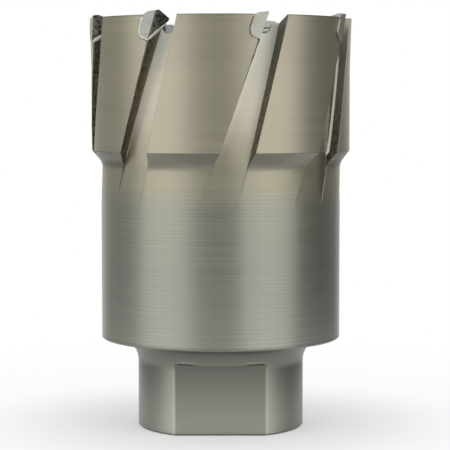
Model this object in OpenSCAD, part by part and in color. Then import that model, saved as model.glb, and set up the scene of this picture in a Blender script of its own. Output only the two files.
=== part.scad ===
// Annular cutter: a fluted steel body with a ring of brazed carbide tips.
// Millimetres. The axis of rotation is Z, z = 0 is the end face of the shank and the teeth point up.
// One wrench flat faces -Y, the front. Seen from above the cutter turns anticlockwise.

/* [Cutting ring] */
// Diameter cut by the tips
cut_d = 45; // [40:0.5:60]
// Width of the ring cut by the tips
kerf_w = 4.5; // [4:0.1:5.2]
// How far the tips stand out beyond the steel rim
tip_out = 0.25; // [0.1:0.05:0.5]
// How far the tips stand in beyond the wall of the slug cavity
tip_in = 0.3; // [0.1:0.05:0.5]
// Depth of the slug cavity below the steel rim
slug_depth = 50; // [35:1:60]
// Angle from the first tooth to the second
tooth_2_angle = 42.3; // [41:0.1:46]
// Angle from the first tooth to the third
tooth_3_angle = 90; // [88:0.5:92]
// Angle from the first tooth to the fourth
tooth_4_angle = 137; // [134:0.5:138]
// Angle from the first tooth to the fifth
tooth_5_angle = 180; // [177:0.5:183]
// Angle from the first tooth to the sixth
tooth_6_angle = 227; // [223:0.5:229]
// Angle from the first tooth to the seventh
tooth_7_angle = 264; // [258:0.5:266]
// Angle from the first tooth to the eighth
tooth_8_angle = 312; // [303:0.5:315]

/* [Head and barrel] */
// Length of the fluted head, rim to step
head_l = 22.2; // [18:0.2:26]
// Growth of the head's radius at the rim
head_flare = 0.25; // [0.1:0.05:0.5]
// Length over which the head grows towards the rim
flare_l = 8; // [5:0.5:12]
// Flat ring left on the rim outside the inner bevel
rim_w = 0.65; // [0.4:0.05:1]
// Slope of the rim's inner bevel
rim_bevel_angle = 30; // [20:1:31]
// Step in radius from the head down to the barrel
barrel_step = 1.62; // [1.2:0.02:2]
// Slope of the step, from the axis
step_angle = 38; // [30:1:45]
// Fillet between the step and the barrel
step_r = 2.5; // [1.5:0.1:3]
// Edge break at the bottom of the barrel
barrel_break = 0.25; // [0.1:0.05:0.6]
// Steel between the shoulder and the floor of the slug cavity
floor_t = 4.2; // [3:0.2:8]

/* [Flutes] */
// Steel left between a flute and the slug cavity, at the rim
web_t = 0.95; // [0.7:0.05:1.3]
// Width of a flute at its floor, at the rim
flute_w = 3.4; // [3:0.1:3.9]
// Lean of the cutting wall from the axis
flute_lean_angle = 19; // [14:0.5:23]
// How much less the trailing wall leans
flute_flare_angle = 4.8; // [3:0.2:7]
// Slope of the flute's floor, which comes out at the barrel
flute_slope_angle = 2.1; // [1.8:0.1:3]
// Turn of the flute's walls against the tooth
flute_turn_angle = 11; // [8:0.5:13]
// Further turn of the cutting wall outside the floor
flute_draft_angle = 7; // [4:0.5:10]
// How much further the trailing wall turns, so that the flute opens outwards
flute_opening_angle = 9; // [6:0.5:11]
// Width of the chip notch through the web beside a tip
notch_w = 2; // [1.4:0.1:2.6]
// Depth of the chip notch below the rim
notch_depth = 2.8; // [2.4:0.1:3.6]

/* [Tips] */
// Thickness of a tip
tip_t = 2; // [1.8:0.1:2.6]
// Depth of a tip's seat below the rim, at the outside
tip_drop = 4.05; // [3.7:0.05:4.8]
// Rise of the seat towards the axis
seat_angle = 36; // [30:1:38]
// Round in the back corner of the seat
seat_r = 1; // [0.5:0.1:1.4]
// Height of the high teeth above the rim
tip_rise = 0.75; // [0.6:0.05:1.1]
// How much lower every second tooth is
low_drop = 0.3; // [0.1:0.05:0.4]
// Distance of a tooth's crest from the outside of the cut
crest_in = 0.9; // [0.6:0.1:1.6]
// Slope of a high tooth's top outside its crest
high_angle = 12; // [6:1:15]
// Slope of a low tooth's top outside its crest
low_angle = 4; // [2:1:8]
// Slope of a tooth's top inside its crest
inner_angle = 19; // [15:1:26]
// Clearance angle behind the top edge
top_relief_angle = 6; // [4:1:9]
// Clearance angle of the outer and inner flanks
side_relief_angle = 5; // [3:1:7]
// Width of the top land before it falls away
tip_land = 1.3; // [1:0.1:1.7]
// Clearance angle behind the top land
back_relief_angle = 35; // [25:1:40]

/* [Shank] */
// Diameter of the shank
shank_d = 28.3; // [26:0.1:31]
// Height of the shank below the shoulder
shank_h = 15.2; // [13.5:0.1:20]
// Fillet between the shank and the shoulder
shank_r = 4; // [2:0.2:4.6]
// Chamfer at the end of the shank
shank_chamfer = 0.3; // [0.1:0.05:0.6]
// Size across the wrench flats
flat_af = 23.8; // [23:0.1:25]
// Height of the wrench flats
flat_h = 12; // [9:0.5:13]
// Diameter of the thread socket at the roots of its thread
socket_d = 18; // [16:0.5:19]
// Depth of the thread socket
socket_depth = 11.5; // [9:0.5:13]
// Chamfer at the mouth of the thread socket
socket_chamfer = 0.6; // [0.3:0.1:1]
// Diameter of the pilot hole
pilot_d = 6.4; // [5:0.1:8.2]

/* [Hidden] */
$fn = 96;
span = 60;
overlap = 0.3;
tooth_count = 8;
first_tooth = -160;
tooth_turns = [0, tooth_2_angle, tooth_3_angle, tooth_4_angle,
  tooth_5_angle, tooth_6_angle, tooth_7_angle, tooth_8_angle];
rim_z = shank_h + floor_t + slug_depth;
head_z = rim_z - head_l;
cut_r = cut_d / 2;
inner_r = cut_r - kerf_w;
rim_r = cut_r - tip_out;
head_r = rim_r - head_flare;
bore_r = inner_r + tip_in;
bevel_r = rim_r - rim_w;
barrel_r = head_r - barrel_step;
crest_r = cut_r - crest_in;
stem_r = shank_d / 2;
floor_r = bore_r + web_t;
floor_x = floor_r * cos(flute_turn_angle);
rim_depth = rim_r * cos(flute_turn_angle) - floor_x;
wall_y = rim_r * sin(flute_turn_angle) - rim_depth * tan(flute_draft_angle);
wall_depth = rim_depth / cos(flute_draft_angle);
flute_reach = slug_depth;
body_color = [0.66, 0.65, 0.62];
tip_color = [0.36, 0.36, 0.38];

// The spacing is uneven, which keeps the teeth from chattering in step
function tooth_angle(i) = first_tooth + tooth_turns[i];

function is_high(i) = i % 2 == 1;

function crest_z(i) = rim_z + tip_rise - (is_high(i) ? 0 : low_drop);

// Fillet that fills the corner between the step and the barrel
module step_fillet() {
  centre_r = barrel_r + step_r;
  centre_z = head_z + ((centre_r - head_r) * cos(step_angle) - step_r) / sin(step_angle);
  meet_r = centre_r - step_r * cos(step_angle);
  meet_z = centre_z + step_r * sin(step_angle);
  difference() {
    polygon([[barrel_r - 1, centre_z], [barrel_r, centre_z], [meet_r, meet_z], [barrel_r - 1, meet_z]]);
    translate([centre_r, centre_z]) circle(step_r);
  }
}

// Fillet that fills the corner between the shank and the shoulder
module shank_fillet() {
  difference() {
    translate([stem_r - 1, shank_h - shank_r]) square([shank_r + 1, shank_r + 0.5]);
    translate([stem_r + shank_r, shank_h - shank_r]) circle(shank_r);
  }
}

// The body before milling, without its holes
module turned_blank() {
  rotate_extrude() {
    polygon([
      [0, 0],
      [stem_r - shank_chamfer, 0],
      [stem_r, shank_chamfer],
      [stem_r, shank_h],
      [barrel_r - barrel_break, shank_h],
      [barrel_r, shank_h + barrel_break],
      [barrel_r, head_z - barrel_step / tan(step_angle)],
      [head_r, head_z],
      [head_r, rim_z - flare_l],
      [rim_r, rim_z],
      [bevel_r, rim_z],
      [0, rim_z - bevel_r * tan(rim_bevel_angle)]
    ]);
    step_fillet();
    shank_fillet();
  }
}

module slug_cavity() {
  translate([0, 0, rim_z - slug_depth]) cylinder(h = slug_depth + 1, r = bore_r);
}

module pilot_hole() {
  translate([0, 0, socket_depth - 1]) cylinder(h = rim_z - slug_depth - socket_depth + 2, d = pilot_d);
}

module thread_socket() {
  translate([0, 0, -1]) cylinder(h = socket_depth + 1, d = socket_d);
  translate([0, 0, -1])
    cylinder(h = socket_chamfer + 1, r1 = socket_d / 2 + socket_chamfer + 1, r2 = socket_d / 2);
}

// Both flats, with the end chamfer carried along their lower edges
module wrench_flats() {
  for (turn = [0, 180]) rotate([0, 0, turn]) {
    translate([-span / 2, flat_af / 2, -1]) cube([span, span, flat_h + 1]);
    translate([-span / 2, flat_af / 2 - shank_chamfer, 0]) rotate([-45, 0, 0])
      translate([0, 0, -1]) cube([span, 2, 2]);
  }
}

module at_tooth(i) {
  rotate([0, 0, tooth_angle(i)]) children();
}

// Where a tooth meets its flute's floor, turned against the tooth, with z up along the floor and x outwards
module on_floor() {
  rotate([0, 0, -flute_turn_angle]) translate([floor_x, 0, rim_z]) rotate([0, -flute_slope_angle, 0]) children();
}

// The cutting wall is the plane y = 0 here, with z up along its foot and x outwards
module on_wall() {
  on_floor() translate([0, wall_y, 0]) rotate([-flute_lean_angle, 0, 0]) rotate([0, 0, flute_draft_angle]) children();
}

// The space on one side of a flute's wall, which starts well inside the floor
module wall_side(side, lean, draft) {
  rotate([-lean, 0, 0]) translate([0, 0, -flute_reach]) linear_extrude(height = 2 * flute_reach)
    rotate(draft) translate([-kerf_w, side < 0 ? -span : 0]) square([span, span]);
}

// The space between the two walls of a tooth's flute
module flute_slot() {
  on_floor() intersection() {
    translate([0, wall_y, 0]) wall_side(1, flute_lean_angle, flute_draft_angle);
    translate([0, wall_y + flute_w, 0])
      wall_side(-1, flute_lean_angle - flute_flare_angle, flute_draft_angle + flute_opening_angle);
  }
}

// The steel inside the floors of the flutes, a cone that meets the barrel where the flutes run out
module flute_core() {
  growth = flute_reach * tan(flute_slope_angle);
  translate([0, 0, rim_z - flute_reach])
    cylinder(h = 2 * flute_reach, r1 = floor_r + growth, r2 = floor_r - growth);
}

module flutes() {
  difference() {
    for (i = [0 : tooth_count - 1]) at_tooth(i) flute_slot();
    flute_core();
  }
}

module chip_notch() {
  on_wall() translate([-kerf_w, 0, notch_w / 2 - notch_depth]) {
    translate([0, notch_w / 2, 0]) rotate([0, 90, 0]) cylinder(h = kerf_w + web_t, d = notch_w);
    cube([kerf_w + web_t, notch_w, 2 * notch_depth]);
  }
}

// A tip's seat runs along z here, with x away from the seat and y along the tip's thickness
module on_seat() {
  on_wall() translate([wall_depth, 0, -tip_drop]) rotate([0, seat_angle - 90, 0]) children();
}

// The space behind the cutting wall that a tip fills, with a round back corner
module seat_space(front) {
  on_seat() translate([0, 0, -kerf_w]) linear_extrude(height = 4 * kerf_w) union() {
    translate([seat_r, -tip_t]) square([2 * tip_drop, tip_t + front]);
    translate([0, seat_r - tip_t]) square([2 * tip_drop, tip_t - seat_r + front]);
    translate([seat_r, seat_r - tip_t]) circle(seat_r);
  }
}

// A block below the plane that passes through the point and falls outwards and backwards
module under_top(point, outward, backward) {
  translate(point) rotate([backward, 0, 0]) rotate([0, outward, 0])
    translate([-span / 2, -span / 2, -span]) cube(span);
}

module carbide_tip(i) {
  crest = [crest_r, 0, crest_z(i)];
  heel = [crest_r, -tip_land, crest_z(i) - tip_land * tan(top_relief_angle)];
  color(tip_color) at_tooth(i) intersection() {
    seat_space(0);
    translate([cut_r, 0, rim_z]) rotate([0, 0, -side_relief_angle])
      translate([-span, -span / 2, -span / 2]) cube(span);
    translate([inner_r, 0, rim_z]) rotate([0, 0, side_relief_angle])
      translate([0, -span / 2, -span / 2]) cube(span);
    under_top(crest, is_high(i) ? high_angle : low_angle, top_relief_angle);
    under_top(crest, -inner_angle, top_relief_angle);
    under_top(heel, 0, back_relief_angle);
  }
}

module cutter_body() {
  color(body_color) difference() {
    turned_blank();
    slug_cavity();
    pilot_hole();
    thread_socket();
    wrench_flats();
    flutes();
    for (i = [0 : tooth_count - 1]) at_tooth(i) {
      seat_space(overlap);
      chip_notch();
    }
  }
}

cutter_body();
carbide_tip(0);  // carbide_tip_1
carbide_tip(1);  // carbide_tip_2
carbide_tip(2);  // carbide_tip_3
carbide_tip(3);  // carbide_tip_4
carbide_tip(4);  // carbide_tip_5
carbide_tip(5);  // carbide_tip_6
carbide_tip(6);  // carbide_tip_7
carbide_tip(7);  // carbide_tip_8
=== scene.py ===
import math

import bpy
from mathutils import Matrix, Vector


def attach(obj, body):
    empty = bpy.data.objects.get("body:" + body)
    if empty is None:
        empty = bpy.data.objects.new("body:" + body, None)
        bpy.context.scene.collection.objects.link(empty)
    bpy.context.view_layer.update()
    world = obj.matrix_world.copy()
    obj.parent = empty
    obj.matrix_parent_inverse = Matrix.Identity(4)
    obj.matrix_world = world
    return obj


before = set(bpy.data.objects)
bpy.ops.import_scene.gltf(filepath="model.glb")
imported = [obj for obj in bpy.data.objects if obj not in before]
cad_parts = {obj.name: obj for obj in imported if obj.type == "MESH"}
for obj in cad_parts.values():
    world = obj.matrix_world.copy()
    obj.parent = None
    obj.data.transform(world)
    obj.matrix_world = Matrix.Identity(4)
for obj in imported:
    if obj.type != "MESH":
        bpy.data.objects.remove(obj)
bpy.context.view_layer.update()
scene = bpy.context.scene
scene.view_settings.view_transform = "Standard"

# One millimetre in metres
MM = 0.001

# Sizes repeated from the part's source or worked out from it, in millimetres and degrees
RIM_Z = 69.4
RIM_R = 22.25
HEAD_Z = 47.2
HEAD_R = 22.0
FLARE_L = 8.0
BARREL_R = 20.38
STEP_LOW_Z = 45.13
BEVEL_R = 21.6
BEVEL_SLOPE = 30
FLOOR_X = 18.896
WALL_Y = 3.884
WALL_DEPTH = 2.967
FLUTE_TURN = 11
FLUTE_SLOPE = 2.1
FLUTE_LEAN = 19
FLUTE_DRAFT = 7
TIP_DROP = 4.05
TIP_T = 2.0
SEAT_SLOPE = 36
SEAT_R = 1.0
SOCKET_R = 9.0
FLAT_EDGE_X = 7.655
FLAT_Z = 12.0
SHOULDER_Z = 15.2
FIRST_TOOTH = -160
TOOTH_TURNS = (0, 42.3, 90, 137, 180, 227, 264, 312)

# Pitch of the lathe's feed marks, in millimetres
FEED = 0.57

# How freely filler was fed to each tip, from just above NO_FILLER to 1
FILLER = (0.7, 1.0, 0.3, 0.25, 0.8, 0.6, 0.9, 0.5)
NO_FILLER = 0.2


# Shader helpers


class Shader:
    """A node material, with short calls for the nodes that the finishes share."""

    def __init__(self, name):
        self.material = bpy.data.materials.new(name)
        self.material.use_nodes = True
        self.tree = self.material.node_tree
        self.tree.nodes.clear()
        self.output = self.tree.nodes.new("ShaderNodeOutputMaterial")

    def node(self, kind, **settings):
        made = self.tree.nodes.new(kind)
        for key, value in settings.items():
            setattr(made, key, value)
        return made

    def link(self, source, target):
        self.tree.links.new(source, target)

    def fill(self, socket, value):
        if isinstance(value, bpy.types.NodeSocket):
            self.link(value, socket)
        else:
            socket.default_value = value

    def math(self, operation, first, second=0.0, third=0.0):
        made = self.node("ShaderNodeMath", operation=operation)
        for socket, value in zip(made.inputs, (first, second, third)):
            self.fill(socket, value)
        return made.outputs[0]

    def ramp(self, value, low, high, to_low=0.0, to_high=1.0, kind="SMOOTHSTEP"):
        made = self.node("ShaderNodeMapRange", interpolation_type=kind)
        self.fill(made.inputs["Value"], value)
        self.fill(made.inputs["From Min"], low)
        self.fill(made.inputs["From Max"], high)
        self.fill(made.inputs["To Min"], to_low)
        self.fill(made.inputs["To Max"], to_high)
        return made.outputs[0]

    def mix(self, factor, first, second, blend="MIX"):
        made = self.node("ShaderNodeMix", data_type="RGBA", blend_type=blend)
        self.fill(made.inputs["Factor"], factor)
        self.fill(made.inputs[6], first)
        self.fill(made.inputs[7], second)
        return made.outputs[2]

    def grey(self, value):
        made = self.node("ShaderNodeCombineColor")
        for socket in made.inputs[:3]:
            self.link(value, socket)
        return made.outputs[0]

    def noise(self, vector, scale, detail=2.0, roughness=0.5):
        made = self.node("ShaderNodeTexNoise")
        self.fill(made.inputs["Vector"], vector)
        made.inputs["Scale"].default_value = scale
        made.inputs["Detail"].default_value = detail
        made.inputs["Roughness"].default_value = roughness
        return made.outputs[0]

    def place(self):
        return self.node("ShaderNodeTexCoord").outputs["Object"]

    def cross(self, x, y, side_x, side_y):
        """How far the direction side turns round the axis, times the distance from it."""
        return self.math("SUBTRACT", self.math("MULTIPLY", x, side_y), self.math("MULTIPLY", y, side_x))

    def stretch(self, vector, scale):
        made = self.node("ShaderNodeMapping")
        self.link(vector, made.inputs["Vector"])
        made.inputs["Scale"].default_value = scale
        return made.outputs[0]

    def split(self, vector):
        made = self.node("ShaderNodeSeparateXYZ")
        self.link(vector, made.inputs[0])
        return made.outputs

    def bump(self, height, strength, distance, normal=None):
        made = self.node("ShaderNodeBump")
        made.inputs["Strength"].default_value = strength
        made.inputs["Distance"].default_value = distance
        self.link(height, made.inputs["Height"])
        if normal is not None:
            self.link(normal, made.inputs["Normal"])
        return made.outputs[0]

    def soft_edges(self, radius):
        made = self.node("ShaderNodeBevel", samples=6)
        self.fill(made.inputs["Radius"], radius)
        return made.outputs[0]

    def metal(self, color, roughness, normal, metallic=1.0, anisotropic=0.0):
        made = self.node("ShaderNodeBsdfPrincipled")
        made.inputs["Anisotropic"].default_value = anisotropic
        made.inputs["Anisotropic Rotation"].default_value = 0.25
        self.fill(made.inputs["Metallic"], metallic)
        self.fill(made.inputs["Base Color"], color)
        self.fill(made.inputs["Roughness"], roughness)
        self.fill(made.inputs["Normal"], normal)
        self.link(made.outputs[0], self.output.inputs["Surface"])
        return made


# Finishes


def turned_steel():
    s = Shader("turned_steel")
    place = s.place()
    x, y, z = s.split(place)
    radius = s.math("SQRT", s.math("ADD", s.math("MULTIPLY", x, x), s.math("MULTIPLY", y, y)))

    # Tool lines run round the axis, so the noise is long round it and short along it
    fine = s.noise(s.stretch(place, (20, 20, 3000)), 1.0, 2.0)
    broad = s.noise(s.stretch(place, (8, 8, 750)), 1.0, 2.0)
    grain = s.noise(place, 5200, 2.0)
    patch = s.noise(place, 110, 2.0)
    lines = s.math("ADD", s.math("MULTIPLY", fine, 0.6), s.math("MULTIPLY", broad, 0.4))

    # How a face is turned: outward from the axis, round it, and down
    facing = s.node("ShaderNodeNewGeometry").outputs["True Normal"]
    face_x, face_y, face_z = s.split(facing)
    safe = s.math("MAXIMUM", radius, 0.001)
    outward = s.math("ADD", s.math("MULTIPLY", x, face_x), s.math("MULTIPLY", y, face_y))
    outward = s.math("DIVIDE", outward, safe)
    around = s.math("DIVIDE", s.cross(x, y, face_x, face_y), safe)

    # Flutes lie below the turned skin and outside the slug cavity
    skin = s.ramp(z, STEP_LOW_Z * MM, HEAD_Z * MM, BARREL_R * MM, HEAD_R * MM, "LINEAR")
    depth = s.math("SUBTRACT", skin, radius)
    outside = s.ramp(radius, 0.01835, 0.0185)
    in_flute = s.math("MULTIPLY", s.ramp(depth, 0.00002, 0.00010), outside)
    in_flute = s.math("MULTIPLY", in_flute, s.ramp(z, 0.030, 0.032))

    # Brazing heat leaves a straw tint on the head, which ends below the step
    warmth = s.math("ADD", z, s.math("MULTIPLY", patch, 0.003))
    head = s.ramp(warmth, 0.0385, 0.0435)
    head = s.math("MAXIMUM", head, s.ramp(warmth, 0.027, 0.0395, 0.0, 0.22))
    straw = s.mix(s.ramp(z, 0.0440, 0.0460), (0.455, 0.43, 0.325, 1), (0.49, 0.455, 0.348, 1))
    color = s.mix(head, (0.378, 0.385, 0.331, 1), straw)

    # Painted shade: the shank is darker towards the shoulder, as if shaded by it. Painted highlight: the
    # round face is lighter beside the wrench flats and painted shade darkens it further round
    shank = s.ramp(z, 0.0151, 0.0153, 1.0, 0.0)
    shade = s.ramp(z, 0.002, 0.0135, 1.0, 0.48, "LINEAR")
    side = s.math("SUBTRACT", s.math("ABSOLUTE", x), FLAT_EDGE_X * MM)
    # Painted shade further round the shank, stronger on the right side
    painted_right_shade = s.ramp(x, -0.008, 0.008, -0.26, -0.38)
    painted_sheen = s.math("MULTIPLY", s.ramp(side, -0.0001, 0.0), s.ramp(side, 0.0, 0.0045, 0.2, painted_right_shade))
    # Painted highlight: a bright line along the vertical edges of the flats
    edge = s.math("MULTIPLY", s.ramp(s.math("ABSOLUTE", side), 0.0001, 0.0004, 1.0, 0.0), 0.25)
    painted_sheen = s.math("MULTIPLY", s.math("ADD", painted_sheen, edge), s.ramp(z, 0.0105, 0.0122, 1.0, 0.0))
    shade = s.math("MULTIPLY_ADD", shade, painted_sheen, shade)

    # Painted highlight and painted shadow: a flat ends in a bright edge above a dark line of shadow under
    # the ledge, most at its sides, and the lowest edge is dark
    corner = s.ramp(side, -0.004, -0.0025)
    corner = s.math("MULTIPLY", corner, s.ramp(side, -0.0008, -0.0002, 1.0, 0.0))
    above = s.math("SUBTRACT", z, FLAT_Z * MM + 0.00024)
    dark = s.math("MULTIPLY", s.ramp(above, -0.00042, -0.0003), s.ramp(above, -0.00008, 0.0, 1.0, 0.0))
    bright = s.math("MULTIPLY", s.ramp(above, -0.00005, 0.00005), s.ramp(above, 0.0001, 0.0004, 1.0, 0.0))
    change = s.math("MULTIPLY_ADD", dark, -0.75, s.math("MULTIPLY", bright, 0.35))
    corner = s.math("MULTIPLY", corner, change)
    shade = s.math("MULTIPLY_ADD", shade, corner, shade)
    shade = s.math("MULTIPLY", shade, s.ramp(z, 0.0002, 0.0005, 0.5, 1.0))
    color = s.mix(shank, color, s.grey(shade), "MULTIPLY")

    # Painted shade: the barrel's lower edge is darker
    lip = s.ramp(z, SHOULDER_Z * MM, SHOULDER_Z * MM + 0.0009, 0.62, 1.0)
    lip = s.math("MAXIMUM", lip, shank)
    color = s.mix(1.0, color, s.grey(lip), "MULTIPLY")

    # Milled flute floors are lighter than the head, partly their own finish and partly painted light that
    # makes up for the shade of the flute walls, and cooler beside the tips
    heat = s.math("ADD", z, s.math("MULTIPLY", patch, 0.012))
    floor_face = s.math("MULTIPLY", in_flute, s.ramp(outward, 0.7, 0.95))
    milled = s.math("MULTIPLY", floor_face, s.ramp(z, 0.0440, 0.0570))
    color = s.mix(milled, color, (0.665, 0.625, 0.505, 1))
    color = s.mix(s.math("MULTIPLY", milled, s.ramp(heat, 0.0635, 0.0725)), color, (0.60, 0.605, 0.52, 1))

    # Painted light: the floor is brightened along the foot of the cutting wall, found where a wide bevel
    # turns its normal
    wide_x, wide_y = s.split(s.soft_edges(0.0026))[:2]
    leaning = s.math("DIVIDE", s.cross(x, y, wide_x, wide_y), safe)
    painted_foot_light = s.math("MULTIPLY", floor_face, s.ramp(leaning, 0.18, 0.5))
    color = s.mix(painted_foot_light, color, (1.4, 1.4, 1.4, 1), "MULTIPLY")

    # Painted shade: the flute walls are darkened, most on the cutting side, and lifted towards the foot
    # where the wall turns into the floor, with blotches at random
    wall_blotches = s.noise(s.stretch(place, (3000, 3000, 1000)), 1.0, 3.0, 0.6)
    wall_blotches = s.ramp(wall_blotches, 0.36, 0.64)
    foot = s.ramp(depth, 0.0008, 0.0025)
    painted_wall_shade = s.mix(wall_blotches, (0.065, 0.058, 0.042, 1), (0.21, 0.192, 0.15, 1))
    painted_wall_shade = s.mix(s.math("MULTIPLY", foot, 0.8), painted_wall_shade, (0.33, 0.305, 0.24, 1))
    cutting = s.math("MULTIPLY", in_flute, s.ramp(around, 0.35, 0.8))
    trailing = s.math("MULTIPLY", in_flute, s.ramp(around, -0.35, -0.8))
    color = s.mix(cutting, color, painted_wall_shade)
    color = s.mix(trailing, color, s.mix(wall_blotches, (0.12, 0.115, 0.092, 1), (0.25, 0.238, 0.195, 1)))

    # Painted shade and light set by place on the right-hand flute: its floor is darkened, its trailing
    # wall is lightened towards the rim, and a painted glint runs along that wall lower down
    right = s.ramp(x, 0.0155, 0.0170)
    painted_right_floor_shade = s.math("MULTIPLY", s.math("MULTIPLY", floor_face, right), 0.85)
    color = s.mix(painted_right_floor_shade, color, (0.22, 0.21, 0.17, 1))
    right = s.math("MULTIPLY", right, trailing)
    painted_right_wall_light = s.math("MULTIPLY", right, s.ramp(z, 0.0480, 0.0620, 0.0, 0.8))
    color = s.mix(painted_right_wall_light, color, (0.40, 0.395, 0.335, 1))
    painted_right_glint = s.math("SUBTRACT", depth, s.ramp(z, 0.046, 0.062, 0.00167, 0.00145, "LINEAR"))
    painted_right_glint = s.ramp(s.math("ABSOLUTE", painted_right_glint), 0.0001, 0.00033, 1.0, 0.0)
    painted_right_glint = s.math("MULTIPLY", s.math("MULTIPLY", painted_right_glint, right), s.ramp(z, 0.0620, 0.0645, 1.0, 0.0))
    color = s.mix(painted_right_glint, color, (1.0, 0.97, 0.85, 1))

    # Painted shade: the step under the head is darker than the turned skin, as if shaded by the head. The
    # rim's top edge is darker too, and the cavity gets painted shade
    step = s.math("MULTIPLY", s.ramp(z, 0.0440, 0.0456), s.ramp(z, 0.04722, 0.04728, 1.0, 0.0))
    step = s.math("MULTIPLY", step, s.math("SUBTRACT", outside, in_flute))
    painted_step_shade = s.mix(s.ramp(patch, 0.35, 0.65), (0.192, 0.187, 0.154, 1), (0.25, 0.242, 0.20, 1))
    color = s.mix(step, color, painted_step_shade)
    rim = s.math("MULTIPLY", s.ramp(z, RIM_Z * MM - 0.0002, RIM_Z * MM - 0.0001), 0.6)
    color = s.mix(rim, color, (0.13, 0.125, 0.10, 1))
    # Painted shade inside the cavity and on the up-facing and inner faces near the rim, which show through
    # the notches
    cavity = s.math("MULTIPLY", s.ramp(z, 0.0190, 0.0192), s.math("SUBTRACT", 1.0, outside))
    near_rim = s.ramp(z, 0.060, 0.0602)
    bevel = s.math("MULTIPLY", near_rim, s.ramp(face_z, 0.5, 0.7))
    notch = s.math("MULTIPLY", near_rim, s.ramp(radius, 0.0190, 0.0192, 1.0, 0.0))
    inner = s.math("MAXIMUM", cavity, s.math("MAXIMUM", bevel, notch))
    color = s.mix(inner, color, (0.25, 0.265, 0.255, 1))

    # Tool lines and feed marks vary the tone of the turned faces
    tone = s.ramp(lines, 0.3, 0.7, 0.97, 1.03)
    feed = s.math("MULTIPLY_ADD", z, 2 * math.pi / (FEED * MM), s.math("MULTIPLY", broad, 12.0))
    feed = s.math("MULTIPLY", s.math("SINE", feed), s.ramp(patch, 0.35, 0.65, 0.012, 0.06))
    turned = s.math("SUBTRACT", 1.0, s.math("MAXIMUM", shank, in_flute))
    turned = s.math("MULTIPLY", turned, s.ramp(z, 0.0400, 0.0460, 1.0, 0.25))
    tone = s.math("MULTIPLY_ADD", feed, turned, tone)
    color = s.mix(1.0, color, s.grey(tone), "MULTIPLY")

    # The heated head and the milled floors are duller, and corners deep in a flute are rounder
    roughness = s.ramp(lines, 0.25, 0.75, 0.38, 0.42)
    roughness = s.math("ADD", roughness, s.math("MULTIPLY", head, 0.05))
    roughness = s.math("ADD", roughness, s.math("MULTIPLY", milled, 0.12))
    metallic = s.ramp(s.math("MAXIMUM", milled, painted_right_glint), 0.0, 1.0, 1.0, 0.4)
    deep = s.math("MULTIPLY", in_flute, s.ramp(depth, 0.0008, 0.0016))
    normal = s.soft_edges(s.ramp(deep, 0.0, 1.0, 0.00012, 0.0003))
    normal = s.bump(lines, 0.2, 0.00001, normal)
    normal = s.bump(grain, 0.12, 0.000005, normal)
    shader = s.metal(color, roughness, normal, metallic, 0.3)
    tangent = s.node("ShaderNodeTangent", direction_type="RADIAL", axis="Z")
    s.link(tangent.outputs[0], shader.inputs["Tangent"])
    return s.material


def ground_carbide(name, dark, light):
    s = Shader(name)
    place = s.place()
    x, y = s.split(place)[:2]
    facing = s.node("ShaderNodeNewGeometry").outputs["True Normal"]
    face_x, face_y = s.split(facing)[:2]
    around = s.cross(x, y, face_x, face_y)
    grain = s.noise(place, 7000, 3.0, 0.6)
    mottle = s.noise(place, 1500, 3.0, 0.6)
    scratch = s.noise(s.stretch(place, (400, 400, 5000)), 1.0, 2.0)
    ground = s.mix(s.ramp(grain, 0.35, 0.65), dark, light)
    sintered = s.mix(s.ramp(mottle, 0.35, 0.65), (0.07, 0.066, 0.052, 1), (0.40, 0.385, 0.33, 1))
    rake = s.ramp(around, 0.014, 0.019)
    color = s.mix(rake, ground, sintered)
    metallic = s.ramp(rake, 0.0, 1.0, 0.9, 0.8)
    roughness = s.ramp(scratch, 0.3, 0.7, 0.3, 0.45)
    normal = s.bump(scratch, 0.3, 0.00001, s.soft_edges(0.00008))
    s.metal(color, roughness, normal, metallic)
    return s.material


def silver_braze():
    s = Shader("silver_braze")
    place = s.place()
    ripple = s.noise(place, 2600, 2.0)
    color = s.mix(ripple, (0.62, 0.60, 0.53, 1), (0.80, 0.78, 0.70, 1))
    roughness = s.ramp(ripple, 0.3, 0.7, 0.3, 0.45)
    s.metal(color, roughness, s.bump(ripple, 0.4, 0.00003), 0.35)
    return s.material


def flux_glaze():
    s = Shader("flux_glaze")
    place = s.place()
    ripple = s.noise(place, 1800, 3.0)
    color = s.mix(ripple, (0.05, 0.042, 0.03, 1), (0.12, 0.103, 0.075, 1))
    made = s.node("ShaderNodeBsdfPrincipled")
    s.link(color, made.inputs["Base Color"])
    s.link(s.ramp(ripple, 0.3, 0.7, 0.35, 0.6), made.inputs["Roughness"])
    s.link(s.bump(ripple, 0.4, 0.00003), made.inputs["Normal"])
    s.link(made.outputs[0], s.output.inputs["Surface"])
    return s.material


steel = turned_steel()
low_carbide = ground_carbide("low_carbide", (0.40, 0.395, 0.35, 1), (0.48, 0.47, 0.41, 1))
high_carbide = ground_carbide("high_carbide", (0.31, 0.317, 0.295, 1), (0.40, 0.405, 0.375, 1))
braze = silver_braze()
flux = flux_glaze()

finishes = {"cutter_body": steel}
for i in range(len(TOOTH_TURNS)):
    finishes["carbide_tip_" + str(i + 1)] = high_carbide if i % 2 else low_carbide
for name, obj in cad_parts.items():
    for slot in obj.material_slots:
        slot.material = finishes[name]


# Brazed joints


def add_mesh(name, verts, faces, material):
    mesh = bpy.data.meshes.new(name)
    mesh.from_pydata(verts, [], faces)
    mesh.materials.append(material)
    obj = bpy.data.objects.new(name, mesh)
    scene.collection.objects.link(obj)
    return obj


def turn(degrees, axis):
    return Matrix.Rotation(math.radians(degrees), 4, axis)


def shift(x, y, z):
    return Matrix.Translation((x, y, z))


def tooth_angle(i):
    return FIRST_TOOTH + TOOTH_TURNS[i]


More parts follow.
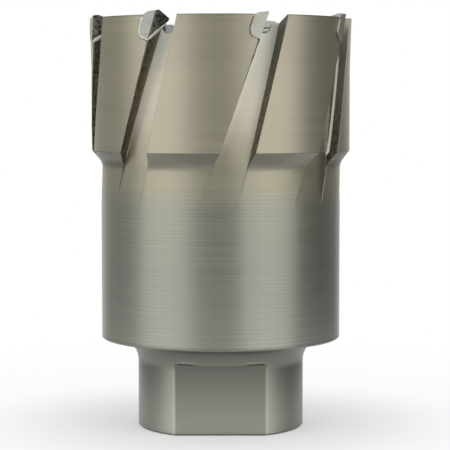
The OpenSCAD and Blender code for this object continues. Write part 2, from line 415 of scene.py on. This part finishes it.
def wall_frame(i):
    """The cutting wall is the plane y = 0 here, with z up along its foot and x outwards."""
    floor = turn(tooth_angle(i) - FLUTE_TURN, "Z") @ shift(FLOOR_X, 0, RIM_Z) @ turn(-FLUTE_SLOPE, "Y")
    return floor @ shift(0, WALL_Y, 0) @ turn(-FLUTE_LEAN, "X") @ turn(FLUTE_DRAFT, "Z")


def seat_frame(i):
    """A tip's seat runs along z here, with x away from the seat and y along the tip's thickness."""
    return wall_frame(i) @ shift(WALL_DEPTH, 0, -TIP_DROP) @ turn(SEAT_SLOPE - 90, "Y")


def land_radius(z):
    rise = max(0.0, min(1.0, (z - RIM_Z + FLARE_L) / FLARE_L))
    return HEAD_R + (RIM_R - HEAD_R) * rise


def border(low, high, is_before):
    """The value between low and high up to which is_before holds."""
    for step in range(40):
        middle = (low + high) / 2
        if is_before(middle):
            low = middle
        else:
            high = middle
    return low


def land_point(seat, x, y):
    """Where the line of the seat through x and y comes out of the land."""

    def is_outside(reach):
        p = seat @ Vector((x, y, reach))
        return math.hypot(p.x, p.y) > land_radius(p.z)

    return seat @ Vector((x, y, border(-3.0, 6.0, is_outside)))


def directions_out(path):
    """The level direction away from the axis at each point."""
    return [Vector((p.x, p.y, 0)).normalized() for p in path]


def tube(name, path, sides, reach, material):
    """A bead of oval section along a path. sides gives its two half widths at a share of the length,
    and reach gives the direction of the first of them at each point."""
    verts = []
    faces = []
    count = len(path)
    around = 10
    for k, p in enumerate(path):
        ahead = path[min(k + 1, count - 1)] - path[max(k - 1, 0)]
        ahead.normalize()
        first = (reach[k] - ahead * reach[k].dot(ahead)).normalized()
        second = ahead.cross(first)
        half_a, half_b = sides(k / (count - 1))
        for j in range(around):
            angle = 2 * math.pi * j / around
            verts.append((p + first * half_a * math.cos(angle) + second * half_b * math.sin(angle)) * MM)
    for k in range(count - 1):
        for j in range(around):
            a = k * around + j
            b = k * around + (j + 1) % around
            faces.append((a, b, b + around, a + around))
    faces.append(tuple(range(around - 1, -1, -1)))
    faces.append(tuple(range((count - 1) * around, count * around)))
    made = add_mesh(name, verts, faces, material)
    for face in made.data.polygons:
        face.use_smooth = True
    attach(made, "root")


def rake_bead(i):
    """Filler that shows as a bright line under the tip, on the side that cuts."""
    seat = seat_frame(i)
    sunk = 0.06
    overhang = 0.12
    length = 4.3
    count = 24
    path = []
    for k in range(count + 1):
        path.append(seat @ Vector((-sunk, 0.0, -overhang + length * k / count)))
    normal = (seat.to_3x3() @ Vector((0, 1, 0))).normalized()

    def sides(share):
        swell = 1 + 0.25 * math.sin(9 * share + i) * math.sin(4 * share + 2 * i)
        end = min(1.0, 6 * share + 0.3, 6 * (1 - share) + 0.3)
        return 0.15 * end, 0.28 * swell * end

    tube("braze_rake_" + str(i + 1), path, sides, [normal] * len(path), braze)


def flank_outline(i, out):
    """The pocket's edge on the land, from the cutting side round the back of the tip and up to the rim."""
    seat = seat_frame(i)
    height = 3.6
    points = []
    for k in range(6):
        points.append((-out, -(TIP_T - SEAT_R) * k / 6))
    for k in range(9):
        angle = math.radians(180 + 90 * k / 8)
        corner = (SEAT_R + out) * Vector((math.cos(angle), math.sin(angle)))
        points.append((SEAT_R + corner.x, SEAT_R - TIP_T + corner.y))
    for k in range(1, 9):
        points.append((SEAT_R + height * k / 8, -TIP_T - out))
    path = []
    for x, y in points:
        p = land_point(seat, x, y)
        if p.z < RIM_Z + 0.02:
            path.append(p)
    return path


def flank_bead(i):
    """Filler round the edge of a tip's flank, and dark flux beside it, wider where filler is scarce."""
    raised = 0.13
    bead = 0.25 * (FILLER[i] - NO_FILLER)
    path = flank_outline(i, 0.8 * bead)
    outward = directions_out(path)
    path = [p + raised * away for p, away in zip(path, outward)]

    def sides(share):
        return 0.17, bead * (1 + 0.2 * math.sin(11 * share + 2 * i))

    tube("braze_flank_" + str(i + 1), path, sides, outward, braze)
    edge = flank_outline(i, 1.8 * bead + 0.06)

    def thin(share):
        return 0.04, 0.14 - 0.06 * FILLER[i] + 0.03 * math.sin(13 * share + i)

    tube("flux_flank_" + str(i + 1), edge, thin, directions_out(edge), flux)


def scorched_edge(i):
    """Dark line down the cutting edge below a tip, which fades out."""
    wall = wall_frame(i)
    sunk = 0.06
    start = -TIP_DROP - 0.2
    length = 9.0
    count = 20
    path = []
    for k in range(count + 1):
        z = start - length * k / count

        def is_inside(reach):
            p = wall @ Vector((reach, -sunk, z))
            return math.hypot(p.x, p.y) < land_radius(p.z)

        path.append(wall @ Vector((border(0.0, 5.0, is_inside), -sunk, z)))

    def sides(share):
        swell = 1 + 0.3 * math.sin(17 * share + i)
        rest = (1 - share) ** 1.5
        return 0.01 + 0.02 * rest, (0.03 + 0.14 * rest) * swell

    tube("flux_edge_" + str(i + 1), path, sides, directions_out(path), flux)


def heel_bead(i):
    """Filler in the corner under the inner end of a tip, where it overhangs the rim's bevel."""
    seat = seat_frame(i)
    slope = math.tan(math.radians(BEVEL_SLOPE))
    overhang = 0.05
    sunk = 0.15
    inward = 0.3
    count = 12
    path = []
    for k in range(count + 1):
        y = overhang - (TIP_T + 2 * overhang) * k / count

        def is_below(reach):
            p = seat @ Vector((0, y, reach))
            return p.z < RIM_Z - (BEVEL_R - math.hypot(p.x, p.y)) * slope

        path.append(seat @ Vector((-sunk, y, border(0.0, 8.0, is_below) + inward)))
    along = (seat.to_3x3() @ Vector((0, 0, 1))).normalized()

    def sides(share):
        end = min(1.0, 5 * share + 0.4, 5 * (1 - share) + 0.4)
        return 0.7 * end, 0.42 * end

    tube("braze_heel_" + str(i + 1), path, sides, [along] * len(path), braze)


for i in range(len(TOOTH_TURNS)):
    rake_bead(i)
    flank_bead(i)
    heel_bead(i)
    scorched_edge(i)


# Thread in the shank


def socket_thread():
    """Four ridges wind up the socket wall, and taper away at both ends."""
    starts = 4
    lead = 6.0
    low_z = 1.1
    high_z = 10.9
    depth = 0.75
    count = 120
    section = ((-0.62, -0.08), (-0.12, 1.0), (0.12, 1.0), (0.62, -0.08))
    verts = []
    faces = []
    for start in range(starts):
        base = len(verts)
        for k in range(count + 1):
            share = k / count
            z = low_z + (high_z - low_z) * share
            angle = 2 * math.pi * (z / lead + start / starts)
            grown = min(1.0, 9 * share + 0.05, 9 * (1 - share) + 0.05)
            for along, inward in section:
                rise = depth * inward * (grown if inward > 0 else 1)
                r = SOCKET_R - rise
                verts.append((r * math.cos(angle) * MM, r * math.sin(angle) * MM, (z + along) * MM))
        for k in range(count):
            for j in range(4):
                a = base + 4 * k + j
                b = base + 4 * k + (j + 1) % 4
                faces.append((a, b, b + 4, a + 4))
        faces.append((base, base + 1, base + 2, base + 3))
        last = base + 4 * count
        faces.append((last + 3, last + 2, last + 1, last))
    made = add_mesh("socket_thread", verts, faces, steel)
    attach(made, "root")


socket_thread()


# Light, floor and camera


def softbox(name, azimuth, distance, height, width, tall, radiance):
    lamp = bpy.data.lights.new(name, "AREA")
    lamp.shape = "RECTANGLE"
    lamp.size = width
    lamp.size_y = tall
    lamp.energy = radiance * math.pi * width * tall
    obj = bpy.data.objects.new(name, lamp)
    scene.collection.objects.link(obj)
    angle = math.radians(azimuth)
    obj.location = (distance * math.sin(angle), -distance * math.cos(angle), height)
    obj.rotation_euler = (math.radians(90), 0, angle)


softbox("left_softbox", azimuth=-54.5, distance=0.9, height=0.4, width=0.89, tall=1.1, radiance=1.02)
softbox("right_softbox", azimuth=46, distance=0.9, height=0.4, width=0.88, tall=1.1, radiance=1.2)


def seen_white(tree):
    """1 for the rays that see the background, directly or in metal and glass."""
    path = tree.nodes.new("ShaderNodeLightPath")
    seen = path.outputs["Is Camera Ray"]
    for ray in ("Is Glossy Ray", "Is Transmission Ray"):
        larger = tree.nodes.new("ShaderNodeMath")
        larger.operation = "MAXIMUM"
        tree.links.new(seen, larger.inputs[0])
        tree.links.new(path.outputs[ray], larger.inputs[1])
        seen = larger.outputs[0]
    return seen


def pale_world():
    world = bpy.data.worlds.new("studio")
    scene.world = world
    world.use_nodes = True
    tree = world.node_tree
    tree.nodes.clear()
    level = tree.nodes.new("ShaderNodeMapRange")
    level.inputs["To Min"].default_value = 0.8
    level.inputs["To Max"].default_value = 1.0
    tree.links.new(seen_white(tree), level.inputs["Value"])
    sky = tree.nodes.new("ShaderNodeBackground")
    sky.inputs["Color"].default_value = (1, 1, 1, 1)
    tree.links.new(level.outputs[0], sky.inputs["Strength"])
    output = tree.nodes.new("ShaderNodeOutputWorld")
    tree.links.new(sky.outputs[0], output.inputs["Surface"])


def room_wall():
    """Dark studio round the camera's side, which the metal shows between the softboxes."""
    s = Shader("studio_wall")
    place = s.place()
    x, y, z = s.split(place)
    level = s.ramp(x, -1.3, 1.9, 0.40, 0.15)
    level = s.math("ADD", level, s.ramp(y, 0.7, 1.35, 0.0, 0.22))
    level = s.math("MULTIPLY", level, s.ramp(z, -0.2, 0.1, 0.6, 1.0))
    glow = s.node("ShaderNodeEmission")
    s.link(s.grey(level), glow.inputs["Color"])
    s.link(glow.outputs[0], s.output.inputs["Surface"])
    reach = 1.5
    count = 60
    verts = []
    faces = []
    for k in range(count + 1):
        angle = math.radians(-148 + 300 * k / count)
        for height in (-0.8, 1.3):
            verts.append((reach * math.sin(angle), -reach * math.cos(angle), height))
    for k in range(count):
        faces.append((2 * k, 2 * k + 1, 2 * k + 3, 2 * k + 2))
    wall = add_mesh("studio_wall", verts, faces, s.material)
    wall.visible_camera = False
    wall.visible_shadow = False
    wall.visible_diffuse = False


def pale_floor():
    """White near the object, where it takes the shadow, and fading into the white background."""
    s = Shader("pale_floor")
    place = s.place()
    x, y = s.split(place)[:2]
    away = s.math("SQRT", s.math("ADD", s.math("MULTIPLY", x, x), s.math("MULTIPLY", y, y)))
    white = s.node("ShaderNodeBsdfDiffuse")
    white.inputs["Color"].default_value = (0.9, 0.9, 0.9, 1)
    glow = s.node("ShaderNodeEmission")
    glow.inputs["Color"].default_value = (1, 1, 1, 1)
    blend = s.node("ShaderNodeMixShader")
    share = s.ramp(away, 0.022, 0.05, 0.35, 0.85)
    s.link(s.math("MULTIPLY", seen_white(s.tree), share), blend.inputs[0])
    s.link(white.outputs[0], blend.inputs[1])
    s.link(glow.outputs[0], blend.inputs[2])
    clear = s.node("ShaderNodeBsdfTransparent")
    below = s.node("ShaderNodeNewGeometry").outputs["Backfacing"]
    gone = s.math("MAXIMUM", below, s.ramp(away, 0.04, 0.12))
    faded = s.node("ShaderNodeMixShader")
    s.link(gone, faded.inputs[0])
    s.link(blend.outputs[0], faded.inputs[1])
    s.link(clear.outputs[0], faded.inputs[2])
    s.link(faded.outputs[0], s.output.inputs["Surface"])
    reach = 0.16
    gap = 0.00002
    count = 64
    ring = []
    for k in range(count):
        angle = 2 * math.pi * k / count
        ring.append((reach * math.cos(angle), reach * math.sin(angle), -gap))
    floor = add_mesh("pale_floor", ring, [tuple(range(count))], s.material)


pale_world()
room_wall()
pale_floor()

lens = bpy.data.cameras.new("camera")
lens.sensor_width = 36
lens.lens = 143.48
camera = bpy.data.objects.new("camera", lens)
camera.location = (0.000742, -0.307138, 0.055549)
camera.rotation_euler = (math.radians(90 - 3.947), 0, 0)
scene.collection.objects.link(camera)
scene.camera = camera
